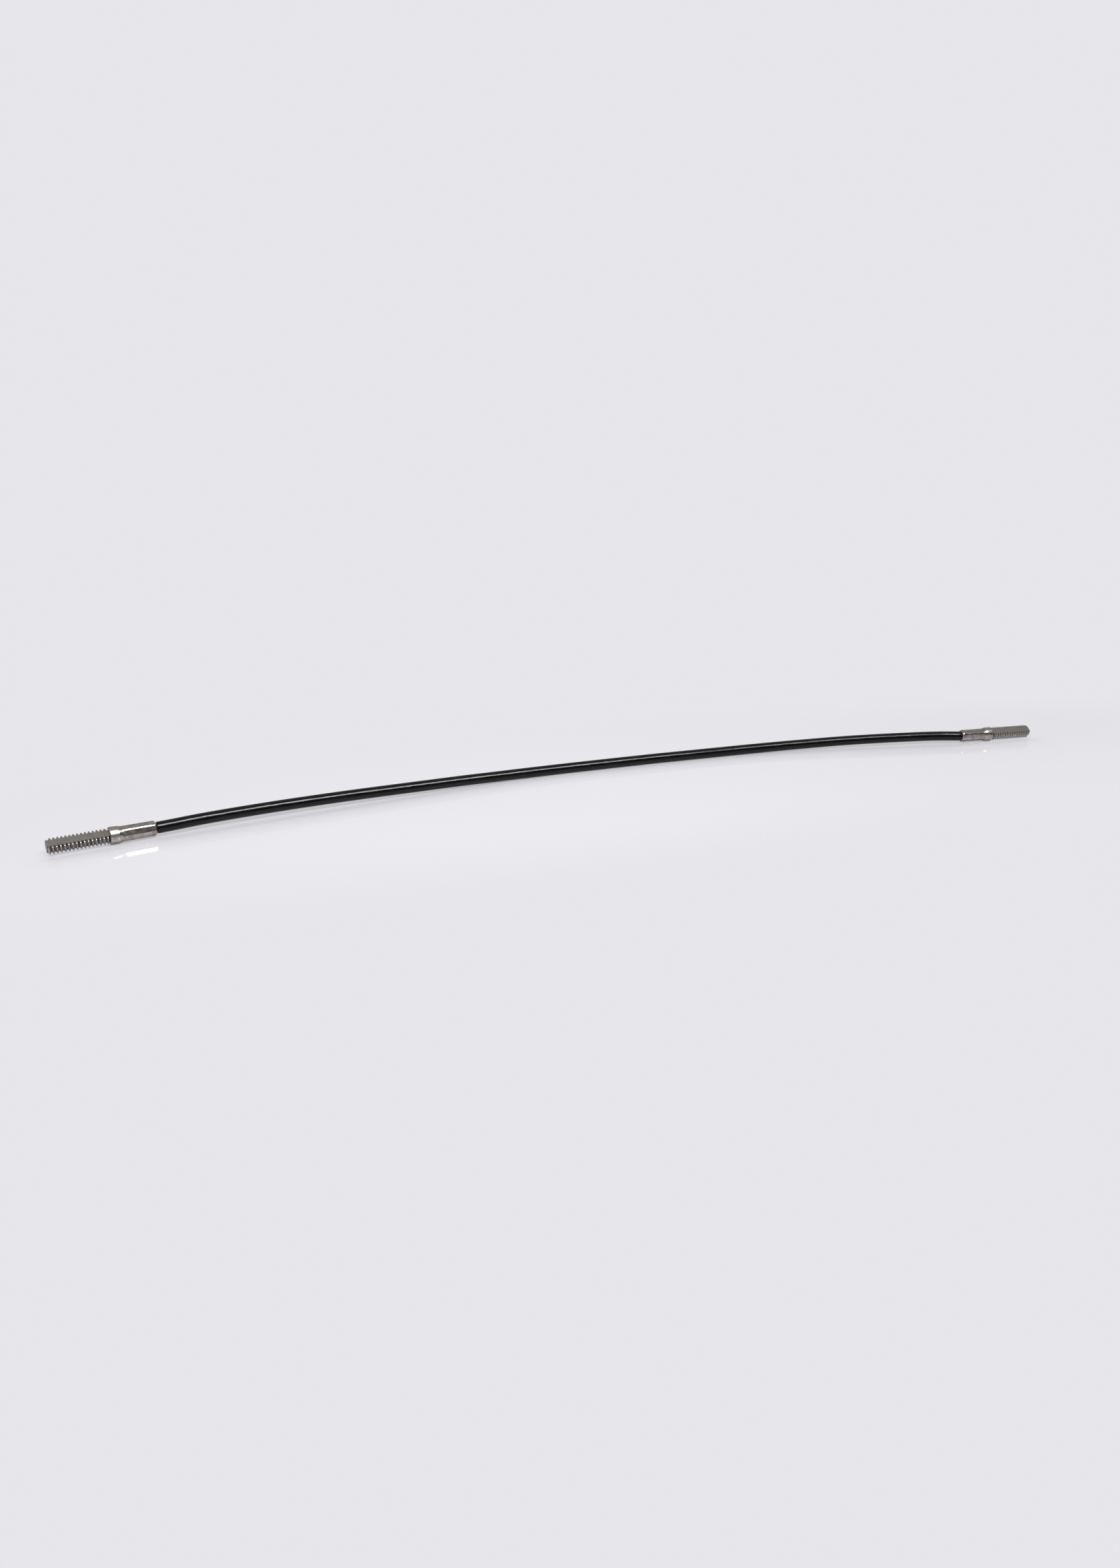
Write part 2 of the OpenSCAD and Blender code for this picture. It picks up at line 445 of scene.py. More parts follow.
@dataclass(frozen=True)
class Finish:
    """A real material and the way that its surface was made.

    Attributes:
        name: The material's name.
        colour: Its main colour, as sRGB hex.
        roughness: How much it blurs a reflection.
    """

    metallic: ClassVar[float] = 1.0
    place_by: ClassVar[PlaceBy] = PlaceBy.STUD_FRAME

    name: str
    colour: str
    roughness: float

    def shade(self, surface: Surface) -> None:
        """Add the nodes that make this finish its own, on this surface."""
        raise NotImplementedError

    def material(self) -> bpy.types.Material:
        """Make the material, or find it where it is made already.

        Returns:
            The material.
        """
        found = bpy.data.materials.get(self.name)
        if found is not None:
            return found
        made = bpy.data.materials.new(self.name)
        made.use_nodes = True
        tree = made.node_tree
        shader = tree.nodes["Principled BSDF"]
        shader.inputs["Base Color"].default_value = linear_colour(self.colour)
        shader.inputs["Metallic"].default_value = self.metallic
        shader.inputs["Roughness"].default_value = self.roughness
        kind, settings, output = self.place_by.value
        self.shade(Surface(tree, shader, add_node(tree, kind, settings).outputs[output]))
        return made


@dataclass(frozen=True)
class OiledStainless(Finish):
    """Stainless steel with oil left on it from its making, which darkens and dulls it in patches.

    Attributes:
        film_colour: Colour of the metal under the film, as sRGB hex.
        patch: Size of the film's patches in millimetres.
    """

    # The range of the patches' pattern over which the film goes from none to full
    FILM: ClassVar[tuple[float, float]] = (0.42, 0.68)
    # How much smoother than the mean the bare metal is, and how much rougher the film
    SMOOTHER: ClassVar[float] = 0.04
    ROUGHER: ClassVar[float] = 0.08

    film_colour: str
    patch: float = 1.4

    def shade(self, surface: Surface) -> None:
        """Spread the film, which is less glossy than the metal too.

        Args:
            surface: The material in the making.
        """
        tree, shader, place = surface
        patches = add_node(
            tree, "ShaderNodeTexNoise",
            {"Scale": 1 / (self.patch * MM), "Detail": 6.0, "Roughness": 0.6}, {0: place},
        )
        film = add_node(
            tree, "ShaderNodeMapRange", {"From Min": self.FILM[0], "From Max": self.FILM[1]},
            {0: patches.outputs[0]},
        )
        colour = add_node(
            tree, "ShaderNodeMix",
            {"data_type": "RGBA", MIX_FIRST: linear_colour(self.colour),
             MIX_SECOND: linear_colour(self.film_colour)},
            {0: film.outputs[0]},
        )
        tree.links.new(colour.outputs[MIX_RESULT], shader.inputs["Base Color"])
        dull = add_node(
            tree, "ShaderNodeMapRange",
            {"To Min": self.roughness - self.SMOOTHER, "To Max": self.roughness + self.ROUGHER},
            {0: film.outputs[0]},
        )
        tree.links.new(dull.outputs[0], shader.inputs["Roughness"])


@dataclass(frozen=True)
class TurnedStainless(OiledStainless):
    """Stainless bar turned on a lathe: fine rings round the axis that catch the light.

    Attributes:
        feed: Distance between two rings in millimetres. A finishing cut leaves one every 0.08 mm,
            which is too fine to show, so they are drawn coarser.
        depth: Depth of the rings in millimetres.
    """

    feed: float = 0.2
    depth: float = 0.0015

    def shade(self, surface: Surface) -> None:
        """Rings at every height of the bar and round the middle of its faces, under the film.

        Args:
            surface: The material in the making.
        """
        super().shade(surface)
        tree, shader, place = surface
        parts = add_node(tree, "ShaderNodeSeparateXYZ", links={0: place})
        # Height and radius together give rings on the side of the bar and on its faces alike
        way = add_node(
            tree, "ShaderNodeMath", {"operation": "ADD"},
            {0: parts.outputs[2], 1: axis_distance(tree, place)},
        )
        rings = add_node(
            tree, "ShaderNodeTexNoise",
            {"noise_dimensions": "1D", "Scale": 1 / (self.feed * MM), "Detail": 3.0},
            {"W": way.outputs[0]},
        )
        bump = add_node(
            tree, "ShaderNodeBump", {"Strength": 1.0, "Distance": self.depth * MM},
            {"Height": rings.outputs[0]},
        )
        tree.links.new(bump.outputs[0], shader.inputs["Normal"])


@dataclass(frozen=True)
class CutThreadStainless(Finish):
    """Stainless with a thread cut in it: painted shade darkens its roots, broken up by random
    patches.

    Attributes:
        root_shade_colour: Colour of the painted shade in the roots, as sRGB hex.
        root_radius: Radius of the roots in millimetres.
        unshaded_radius: Radius from which the flanks have no painted shade, in millimetres.
        patch: Size of the random patches that lighten the painted shade, in millimetres.
        grain: Size of the torn grain in millimetres, which is really 0.03 mm and drawn coarser.
        depth: Depth of the grain in millimetres.
    """

    # The range of radius and patches together over which the painted shade goes from full to none
    UNSHADED_RANGE: ClassVar[tuple[float, float]] = (0.4, 1.0)

    root_shade_colour: str
    root_radius: float
    unshaded_radius: float
    patch: float = 1.1
    grain: float = 0.12
    depth: float = 0.002

    def shade(self, surface: Surface) -> None:
        """Painted shade by radius, darkest in the roots, broken up by random patches.

        Args:
            surface: The material in the making.
        """
        tree, shader, place = surface
        unshaded = add_node(
            tree, "ShaderNodeMapRange",
            {"From Min": self.root_radius * MM, "From Max": self.unshaded_radius * MM},
            {0: axis_distance(tree, place)},
        )
        patches = add_node(
            tree, "ShaderNodeTexNoise", {"Scale": 1 / (self.patch * MM), "Detail": 5.0},
            {0: place},
        )
        unshaded_plus_patches = add_node(
            tree, "ShaderNodeMath", {"operation": "ADD", "use_clamp": True},
            {0: unshaded.outputs[0], 1: patches.outputs[0]},
        )
        share = add_node(
            tree, "ShaderNodeMapRange", {"From Min": self.UNSHADED_RANGE[0], "From Max": self.UNSHADED_RANGE[1]},
            {0: unshaded_plus_patches.outputs[0]},
        )
        # Painted shade: the roots take the dark colour, and the crests the plain one
        colour = add_node(
            tree, "ShaderNodeMix",
            {"data_type": "RGBA", MIX_FIRST: linear_colour(self.root_shade_colour),
             MIX_SECOND: linear_colour(self.colour)},
            {0: share.outputs[0]},
        )
        tree.links.new(colour.outputs[MIX_RESULT], shader.inputs["Base Color"])
        grain = add_node(
            tree, "ShaderNodeTexNoise", {"Scale": 1 / (self.grain * MM), "Detail": 3.0},
            {0: place},
        )
        bump = add_node(
            tree, "ShaderNodeBump", {"Strength": 0.6, "Distance": self.depth * MM},
            {"Height": grain.outputs[0]},
        )
        tree.links.new(bump.outputs[0], shader.inputs["Normal"])


@dataclass(frozen=True)
class MilledStainless(OiledStainless):
    """Stainless faced by a side mill: straight marks across the flat, one for each bite.

    Attributes:
        bite: Distance between two marks in millimetres. A mill leaves one every 0.1 mm, drawn
            coarser to show.
        depth: Depth of the marks in millimetres.
    """

    patch: float = 2.4
    bite: float = 0.3
    depth: float = 0.002

    def shade(self, surface: Surface) -> None:
        """Marks square to the thread's axis, under the film.

        Args:
            surface: The material in the making.
        """
        super().shade(surface)
        tree, shader, place = surface
        parts = add_node(tree, "ShaderNodeSeparateXYZ", links={0: place})
        bites = add_node(
            tree, "ShaderNodeTexNoise",
            {"noise_dimensions": "1D", "Scale": 1 / (self.bite * MM), "Detail": 4.0},
            {"W": parts.outputs[2]},
        )
        bump = add_node(
            tree, "ShaderNodeBump", {"Strength": 0.7, "Distance": self.depth * MM},
            {"Height": bites.outputs[0]},
        )
        tree.links.new(bump.outputs[0], shader.inputs["Normal"])


@dataclass(frozen=True)
class SwagedStainless(OiledStainless):
    """Stainless pressed between dies: drag lines along the barrel and a brown film of die oil.

    Attributes:
        drag: Width of a drag line in millimetres, which is really 0.05 mm and drawn coarser.
        drag_length: Length of a drag line in millimetres.
        drag_depth: Depth of a drag line in millimetres.
        dent: Size of the shallow dents that the dies leave, in millimetres.
        dent_depth: Depth of the dents in millimetres.
    """

    patch: float = 2.2
    drag: float = 0.14
    drag_length: float = 2.8
    drag_depth: float = 0.002
    dent: float = 3.4
    dent_depth: float = 0.16

    def shade(self, surface: Surface) -> None:
        """Lines along the barrel, over shallow dents and under the film.

        Args:
            surface: The material in the making.
        """
        super().shade(surface)
        tree, shader, place = surface
        dents = add_node(
            tree, "ShaderNodeTexNoise", {"Scale": 1 / (self.dent * MM), "Detail": 1.5},
            {0: place},
        )
        pressed = add_node(
            tree, "ShaderNodeBump", {"Strength": 1.0, "Distance": self.dent_depth * MM},
            {"Height": dents.outputs[0]},
        )
        lines = marks(tree, place, (self.drag, self.drag, self.drag_length), detail=3.0)
        bump = add_node(
            tree, "ShaderNodeBump", {"Strength": 0.7, "Distance": self.drag_depth * MM},
            {"Height": lines, "Normal": pressed.outputs[0]},
        )
        tree.links.new(bump.outputs[0], shader.inputs["Normal"])


@dataclass(frozen=True)
class DrawnWireSteel(Finish):
    """Steel wire drawn through a die: fine lines along the wire that stretch its highlight.

    Attributes:
        line: Width of a die's scratch in millimetres, which is really 0.02 mm and drawn coarser.
        line_length: Length of a scratch in millimetres.
        depth: Depth of a scratch in millimetres.
        spread: How much rougher or smoother than the mean the wire is from line to line.
    """

    place_by: ClassVar[PlaceBy] = PlaceBy.UNROLLED_TUBE

    line: float = 0.06
    line_length: float = 4.0
    depth: float = 0.002
    spread: float = 0.08

    def shade(self, surface: Surface) -> None:
        """Lines along the wire, which vary its gloss too.

        Args:
            surface: The material in the making.
        """
        tree, shader, place = surface
        lines = marks(tree, place, (self.line_length, self.line, NO_SIZE), detail=2.0)
        bump = add_node(
            tree, "ShaderNodeBump", {"Strength": 0.5, "Distance": self.depth * MM},
            {"Height": lines},
        )
        tree.links.new(bump.outputs[0], shader.inputs["Normal"])
        dull = add_node(
            tree, "ShaderNodeMapRange",
            {"To Min": self.roughness - self.spread, "To Max": self.roughness + self.spread},
            {0: lines},
        )
        tree.links.new(dull.outputs[0], shader.inputs["Roughness"])


@dataclass(frozen=True)
class ExtrudedPvc(Finish):
    """Plasticised PVC extruded over the strand: glossy, with die lines along it and slow waves.

    Attributes:
        wave: Length of the slow waves in millimetres, where the plastic sank over the strand.
        wave_width: Width of the waves round the jacket, in millimetres.
        wave_depth: Depth of the waves in millimetres.
        line: Width of a die line in millimetres.
        line_length: Length over which a die line changes, in millimetres.
        line_depth: Depth of a die line in millimetres.
        rubbed: How much rougher the jacket is where it was rubbed.
    """

    metallic: ClassVar[float] = 0.0
    place_by: ClassVar[PlaceBy] = PlaceBy.UNROLLED_TUBE
    # The range of the waves' pattern over which the jacket goes from glossy to rubbed
    RUBBED: ClassVar[tuple[float, float]] = (0.3, 0.7)

    wave: float = 4.0
    wave_width: float = 1.9
    wave_depth: float = 0.06
    line: float = 0.25
    line_length: float = 40.0
    line_depth: float = 0.003
    rubbed: float = 0.06

    def shade(self, surface: Surface) -> None:
        """Waves and die lines as two bumps, and rubbed patches that are less glossy.

        Args:
            surface: The material in the making.
        """
        tree, shader, place = surface
        shader.inputs["IOR"].default_value = 1.38
        waves = marks(tree, place, (self.wave, self.wave_width, NO_SIZE), detail=2.0)
        lines = marks(tree, place, (self.line_length, self.line, NO_SIZE), detail=2.0)
        low = add_node(
            tree, "ShaderNodeBump", {"Strength": 1.0, "Distance": self.wave_depth * MM},
            {"Height": waves},
        )
        fine = add_node(
            tree, "ShaderNodeBump", {"Strength": 0.5, "Distance": self.line_depth * MM},
            {"Height": lines, "Normal": low.outputs[0]},
        )
        tree.links.new(fine.outputs[0], shader.inputs["Normal"])
        dull = add_node(
            tree, "ShaderNodeMapRange",
            {"From Min": self.RUBBED[0], "From Max": self.RUBBED[1], "To Min": self.roughness,
             "To Max": self.roughness + self.rubbed},
            {0: waves},
        )
        tree.links.new(dull.outputs[0], shader.inputs["Roughness"])


@dataclass(frozen=True)
class PolishedAcrylic(Finish):
    """A sheet of cast white acrylic under the part, which mirrors it faintly.

    Attributes:
        gloss: Share of the usual mirror of acrylic.
        near: Distance from its middle line at which it starts to pass into the backdrop, in
            metres.
        far: Distance at which it is all backdrop.
        middle: How far towards +Y the glossy strip lies, in metres.
        squeeze: Share at which a distance along the link counts.
        veil: Share of the backdrop over the glossy strip too, which keeps the shadow pale.
    """

    metallic: ClassVar[float] = 0.0
    place_by: ClassVar[PlaceBy] = PlaceBy.OBJECT

    gloss: float
    near: float
    far: float
    middle: float
    squeeze: float
    veil: float

    def shade(self, surface: Surface) -> None:
        """Glossy acrylic near the part, which passes into one even backdrop further out.

        Args:
            surface: The material in the making.
        """
        tree, shader, place = surface
        shader.inputs["IOR"].default_value = 1.49
        shader.inputs["Specular IOR Level"].default_value = self.gloss
        squeezed = add_node(
            tree, "ShaderNodeVectorMath",
            {"operation": "MULTIPLY_ADD", 1: (self.squeeze, 1.0, 1.0),
             2: (0.0, -self.middle, 0.0)},
            {0: place},
        )
        away = add_node(
            tree, "ShaderNodeVectorMath", {"operation": "LENGTH"}, {0: squeezed.outputs[0]}
        )
        passed = add_node(
            tree, "ShaderNodeMapRange",
            {"interpolation_type": "SMOOTHSTEP", "From Min": self.near, "From Max": self.far,
             "To Min": self.veil},
            {0: away.outputs["Value"]},
        )
        seen = add_node(tree, "ShaderNodeLightPath").outputs["Is Camera Ray"]
        share = add_node(
            tree, "ShaderNodeMath", {"operation": "MULTIPLY"}, {0: passed.outputs[0], 1: seen}
        )
        backdrop = add_node(tree, "ShaderNodeEmission", {"Color": linear_colour(self.colour)})
        mixed = add_node(
            tree, "ShaderNodeMixShader",
            links={0: share.outputs[0], 1: shader.outputs[0], 2: backdrop.outputs[0]},
        )
        tree.links.new(mixed.outputs[0], tree.nodes["Material Output"].inputs["Surface"])


TURNED = TurnedStainless("stainless_turned", "C0BBB7", 0.32, film_colour="958A82")
# The thread's roots get a painted shade in root_shade_colour, which fades out towards the crests
THREADED = CutThreadStainless(
    "stainless_thread_cut", "B0ACA8", 0.3, root_shade_colour="5A534C", root_radius=1.77,
    unshaded_radius=2.25,
)
MILLED = MilledStainless("stainless_side_milled", "B0AAA4", 0.34, film_colour="7A736C")
SWAGED = SwagedStainless("stainless_swaged", "BCB7B3", 0.26, film_colour="978D86")
# The bore's turned steel is darker than the collar's: painted shade inside the bore, with a rougher
# drilled finish
SHADED_DRILLED = TurnedStainless(
    "stainless_drilled_painted_shade", "8E8A86", 0.4, film_colour="6E6862", feed=0.3, depth=0.004
)
# The wire's dark grey is far below steel's own colour: painted shade for the gap where the strand
# shows
SHADED_DRAWN_WIRE = DrawnWireSteel("steel_wire_drawn_painted_shade", "4C4946", 0.45)
BLACK_PVC = ExtrudedPvc("pvc_extruded_gloss_black", "050404", 0.2)
WHITE_SHEET = PolishedAcrylic(
    "acrylic_cast_white", BACKDROP, 0.08, gloss=0.24, near=0.03, far=0.085, middle=0.004,
    squeeze=0.26, veil=0.35,
)


def add_piece(
    mesh: bpy.types.Mesh, finishes: Sequence[Finish], node: str
) -> bpy.types.Object:
    """Put a piece in the scene in place of the solid that it stands for.

    Args:
        mesh: The piece's mesh, which gives it its name.
        finishes: Its finishes, in the order of the mesh's numbers.
        node: The solid that it replaces.

    Returns:
        The new object.
    """
    for finish in finishes:
        mesh.materials.append(finish.material())
    piece = bpy.data.objects.new(mesh.name, mesh)
    bpy.context.scene.collection.objects.link(piece)
    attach(piece, "root")
    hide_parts(node)
    log.info("%s: %d faces, replaces %s", piece.name, len(mesh.polygons), node)
    return piece


@dataclass(frozen=True)
class Jacket:
    """The black tube extruded over the strand.

    Attributes:
        diameter: Outer diameter in millimetres.
        bore: Diameter of its bore.
        bare_gap: Bare strand between the left stud's mouth and the jacket.
        play: Distance between the jacket and the right stud's mouth.
        edge: Radius of its cut ends' rounding.
        spacing: Distance between two rings of the mesh.
        sides: Points in a ring.
        bore_start: Rings of the wall before the bore's second ring, and after its last but one.
        bore_step: Rings of the wall for each ring of the bore.
        path_step: Distance between two points of the free cable's path.
    """

    diameter: float = 3.6
    bore: float = 2.5
    bare_gap: float = 0.3
    play: float = 0.01
    edge: float = 0.14
    spacing: float = 0.5
    sides: int = 48
    bore_start: int = 12
    bore_step: int = 8
    path_step: float = 2.0

    def profile(self, length: float) -> list[tuple[float, float]]:
        """List the rings of the outer wall, the rounded ends with it.

        Args:
            length: Distance from mouth to mouth in millimetres.

        Returns:
            The distance along the axis and the radius of each ring, in millimetres.
        """
        start, end, radius = self.bare_gap, length - self.play, self.diameter / 2
        opening = [
            (start + self.edge * (1 - math.sin(t)), radius - self.edge * (1 - math.cos(t)))
            for t in reversed(QUARTER)
        ]
        closing = [(start + end - distance, r) for distance, r in reversed(opening)]
        count = round((end - start) / self.spacing)
        between = [(start + (end - start) * i / count, radius) for i in range(1, count)]
        return [*opening, *between, *closing]

    def build(self, route: CableRoute) -> bpy.types.Object:
        """Make the jacket along the cable.

        Args:
            route: The cable's axis.

        Returns:
            The jacket.
        """
        shell = Shell()
        girth = math.pi * self.diameter * MM
        profile = self.profile(route.length / MM)
        rings = [self._ring(shell, route, distance, radius) for distance, radius in profile]
        inner = profile[self.bore_start:-self.bore_start:self.bore_step]
        bores = [
            self._ring(shell, route, distance, self.bore / 2)
            for distance, _ in (profile[0], *inner, profile[-1])
        ]
        for i in range(len(rings) - 1):
            along = (profile[i][0] * MM, profile[i + 1][0] * MM)
            shell.band(rings[i], rings[i + 1], along=along, girth=girth)
        for before, after in zip(bores, bores[1:]):
            shell.band(before, after)
        shell.band(rings[0], bores[0])
        shell.band(rings[-1], bores[-1])
        return add_piece(shell.mesh("extruded_jacket"), [BLACK_PVC], "jacket")

    def _ring(
        self, shell: Shell, route: CableRoute, distance: float, radius: float
    ) -> list[int]:
        """Add one ring round the cable's axis.

        Args:
            shell: The jacket so far.
            route: The cable's axis.
            distance: Distance along the axis in millimetres.
            radius: The ring's radius in millimetres.

        Returns:
            The points' numbers.
        """
        station = route.at(distance * MM)
        return shell.ring([station.around(radius, angle) for angle in circle(self.sides)])

    def declare(
        self, route: CableRoute, wires: Sequence[bpy.types.Object]
    ) -> None:
        """Work out points along the free cable's axis, which nothing then uses.

        Args:
            route: The cable's axis.
            wires: The wires inside it; not used.
        """
        start, end = self.bare_gap * MM, route.length
        count = round((end - start) / (self.path_step * MM))
        path = [route.at(start + (end - start) * i / count).point for i in range(count + 1)]


@dataclass(frozen=True)
class WireLayer:
    """A layer of wires laid round the strand.

    Attributes:
        name: The layer's name.
        count: Wires in it.
        distance: Distance of the wires from the strand's axis, in millimetres.
        lay: Length of one turn round the strand, in millimetres.
        hand: The way it winds.
    """

    name: str
    count: int
    distance: float
    lay: float
    hand: LayHand

    def node(self, i: int) -> str:
        """Name of the solid of one wire, counted from 1."""
        return self.name if self.count == 1 else f"{self.name}_{i}"


@dataclass(frozen=True)
class Strand:
    """Nineteen wires: one core, six round it, and twelve round those the other way.

    Attributes:
        wire: Diameter of a wire in millimetres.
        seat: Depth of the crimped strand in each stud.
        layers: The layers, the core first.
        sides: Points in a ring of a wire.
        spacing: Distance between two rings.
        fine: Distance between two rings where the strand shows.
        shown: Where it shows, from the left stud's mouth, with some spare at both ends.
    """

    wire: float = 0.47
    seat: float = 9.5
    layers: tuple[WireLayer, ...] = (
        WireLayer("core_wire", 1, 0.0, 18.0, LayHand.RIGHT),
        WireLayer("inner_wire", 6, 0.48, 18.0, LayHand.RIGHT),
        WireLayer("outer_wire", 12, 0.96, 24.0, LayHand.LEFT),
    )
    sides: int = 10
    spacing: float = 1.0
    fine: float = 0.1
    shown: tuple[float, float] = (-0.5, 1.5)

    def distances(self, length: float) -> list[float]:
        """List where the rings go, close together beside the left stud.

        Args:
            length: Distance from mouth to mouth in millimetres.

        Returns:
            Distances along the axis, in millimetres.
        """
        places, here = [], -self.seat
        first, last = self.shown
        while here < length + self.seat:
            places.append(here)
            here += self.fine if first < here < last else self.spacing
        return [*places, length + self.seat]

    def build(self, route: CableRoute) -> list[bpy.types.Object]:
        """Make every wire.

        Args:
            route: The cable's axis.

        Returns:
            The wires, the core first.
        """
        stations = [
            (distance, route.at(distance * MM)) for distance in self.distances(route.length / MM)
        ]
        return [
            self._wire(layer, i, stations)
            for layer in self.layers
            for i in range(1, layer.count + 1)
        ]

    def _wire(
        self, layer: WireLayer, i: int, stations: Sequence[tuple[float, Station]]
    ) -> bpy.types.Object:
        """Make one wire of a layer.

        Args:
            layer: Its layer.
            i: Its number in the layer, from 1.
            stations: Where its rings go.

        Returns:
            The wire.
        """
        shell = Shell()
        girth = math.pi * self.wire * MM
        before: list[int] = []
        last = 0.0
        for distance, station in stations:
            angle = math.tau * (i / layer.count + layer.hand.value * distance / layer.lay)
            centre = station.around(layer.distance, angle)
            wire = Station(centre, station.side, station.top)
            ring = shell.ring([wire.around(self.wire / 2, turn) for turn in circle(self.sides)])
            if before:
                shell.band(before, ring, along=(last * MM, distance * MM), girth=girth)
            else:
                shell.cap(ring, centre)
            before, last = ring, distance
        shell.cap(before, centre)
        node = layer.node(i)
        return add_piece(shell.mesh(f"laid_{node}"), [SHADED_DRAWN_WIRE], node)


@dataclass(frozen=True)
class CrimpStud:
    """A stud turned from one bar: flatted thread, round collar and swaged crimp barrel.

    All lengths are in millimetres along local Z, from the barrel's mouth.

    Attributes:
        hex_turn: Turn from the thread flats to the hexagon's flats, in degrees.
        barrel_len: Length of the crimp barrel.
        hex_across: Distance across the hexagon's flats.
        hex_rounding: Radius of the hexagon's corners.
        mouth_rounding: Radius of the barrel's lip.
        runout_len: Length over which the hexagon runs out into the collar.
        runout_radius: Radius at which the run-out starts.
        runout_blend: How softly it passes into the hexagon and the collar.
        collar_d: Diameter of the collar.
        collar_len: Length of the collar.
        collar_rounding: Radius of the collar's edge.
        bore_d: Diameter of the bore for the strand.
        bore_depth: Depth of that bore.
        bore_break: Size of the chamfer at the bore's mouth.
        drill_angle: Half of the drill's point angle, in degrees.
        thread_d: Major diameter of the thread.
        pitch: Distance between two crests.
        thread_len: Length of the thread.
        neck_len: Length beside the collar that has no thread.
        fade_len: Length over which the thread rises out of the neck.
        lead: Size of the 45 degree lead at the tip.
        flats_across: Distance between the thread's two flats.
        burr: How much is filed off the crests beside a flat.
        first_crest: Height of a crest at local angle 0, as a share of the pitch.
        columns: Points round the thread and the body.
    """

    hex_turn: float
    barrel_len: float = 10.6
    hex_across: float = 4.32
    hex_rounding: float = 1.1
    mouth_rounding: float = 0.55
    runout_len: float = 1.3
    runout_radius: float = 2.06
    runout_blend: float = 0.25
    collar_d: float = 5.3
    collar_len: float = 2.6
    collar_rounding: float = 0.3
    bore_d: float = 2.44
    bore_depth: float = 10.0
    bore_break: float = 0.06
    drill_angle: float = 59.0
    thread_d: float = 4.83
    pitch: float = 1.058
    thread_len: float = 17.0
    neck_len: float = 0.1
    fade_len: float = 0.3
    lead: float = 0.7
    flats_across: float = 2.9
    burr: float = 0.06
    first_crest: float = 0.74
    columns: int = 120

    # One pitch of a 60 degree thread from root to root: place in pitches from the crest, and depth
    # below the crest in millimetres. The cut crest and root are softened.
    THREAD_FORM = (
        (-0.5, 0.648), (-0.425, 0.638), (-0.39, 0.6), (-0.088, 0.047), (-0.0665, 0.013),
        (-0.045, 0.0), (0.045, 0.0), (0.0665, 0.013), (0.088, 0.047), (0.39, 0.6),
        (0.425, 0.638),
    )
    # How far the thread reaches down into the collar, and how far below that its helix starts
    FOOT, SPARE = 0.4, 0.1
    # The waves that the dies leave in the facets: height in millimetres, radians for each
    # millimetre along the barrel, and waves round it
    PRESS_WAVES = ((0.006, 1.1, 3), (0.009, 0.55, -2))
    # How far the rings of the collar's face are set in from its side
    FACE_INSETS = (1.45, 0.75, 0.35)
    # The rings below the collar's edge: their number and their spacing
    COLLAR_RINGS, COLLAR_STEP = 6, 0.3
    # The rings over the run-out: their number, their spacing, and how far up the collar they start
    RUNOUT_RINGS, RUNOUT_STEP, RUNOUT_LIFT = 24, 0.08, 0.3
    # The rings along the barrel: their number, and how far they stay off the run-out and the lip
    BARREL_RINGS, BARREL_MARGIN = 24, 0.1

    @property
    def shoulder(self) -> float:
        """Height of the collar's face, where the thread starts."""
        return self.barrel_len + self.collar_len

    @property
    def tip(self) -> float:
        """Height of the thread's tip."""
        return self.shoulder + self.thread_len

    def hexagon(self, angle: float) -> float:
        """Find the radius of the swaged hexagon in one direction.

        Args:
            angle: The direction round local Z, in radians.

        Returns:
            The radius in millimetres, with rounded corners.
        """
        sector, half = math.radians(60), math.radians(30)
        apothem, rounding = self.hex_across / 2, self.hex_rounding
        turned = angle - math.radians(self.hex_turn)
        off = abs((turned + half) % sector - half)
        flat_end = math.atan2((apothem - rounding) * math.tan(half), apothem)
        if off <= flat_end:
            return apothem / math.cos(off)
        corner = (apothem - rounding) / math.cos(half)
        along = corner * math.cos(half - off)
        return along + math.sqrt(along ** 2 - corner ** 2 + rounding ** 2)

    def outside(self, angle: float, z: float) -> float:
        """Find the radius of the barrel and the collar at a height.

        Args:
            angle: The direction round local Z, in radians.
            z: The height in millimetres.

        Returns:
            The radius in millimetres. Where the hexagon and the run-out meet, and the run-out and
            the collar, they pass softly into each other.
        """
        collar = self.collar_d / 2
        slope = (collar - self.runout_radius) / self.runout_len
        runout = collar + slope * (z - self.barrel_len)
        swaged = self.hexagon(angle) + self.press_marks(angle, z)
        soft = self.runout_blend
        joined = 0.5 * (swaged + runout + math.hypot(swaged - runout, soft))
        return min(collar, 0.5 * (joined + collar - math.hypot(joined - collar, soft)))

    def press_marks(self, angle: float, z: float) -> float:
        """Find how far the swaged facets are out of true at a direction and a height."""
        return sum(
            height * math.sin(along * z + waves * angle)
            for height, along, waves in self.PRESS_WAVES
        )

    def build(self, name: str, node: str, placement: Matrix) -> bpy.types.Object:
        """Make the stud and put it in place.

        Args:
            name: The piece's name.
            node: The solid that it replaces.
            placement: From the stud's own frame to the link's frame.

        Returns:
            The stud.
        """
        form = bmesh.new()
        form.from_mesh(self._body_mesh(f"{name}_body"))
        form.from_mesh(self._thread_mesh(f"{name}_thread"))
        mesh = bpy.data.meshes.new(name)
        form.to_mesh(mesh)
        form.free()
        mesh.set_sharp_from_angle(angle=SHARP_ANGLE)
        for face in mesh.polygons:
            face.use_smooth = face.material_index != StudPart.FLAT.value
        mesh.transform(Matrix.Scale(MM, 4))
        own_place = mesh.attributes.new(OWN_PLACE, "FLOAT_VECTOR", "POINT")
        own_place.data.foreach_set("vector", [x for v in mesh.vertices for x in v.co])
        mesh.transform(placement)
        finishes = {
            StudPart.COLLAR: TURNED,
            StudPart.BARREL: SWAGED,
            StudPart.BORE: SHADED_DRILLED,
            StudPart.THREAD: THREADED,
            StudPart.FLAT: MILLED,
        }
        return add_piece(mesh, [finishes[part] for part in StudPart], node)

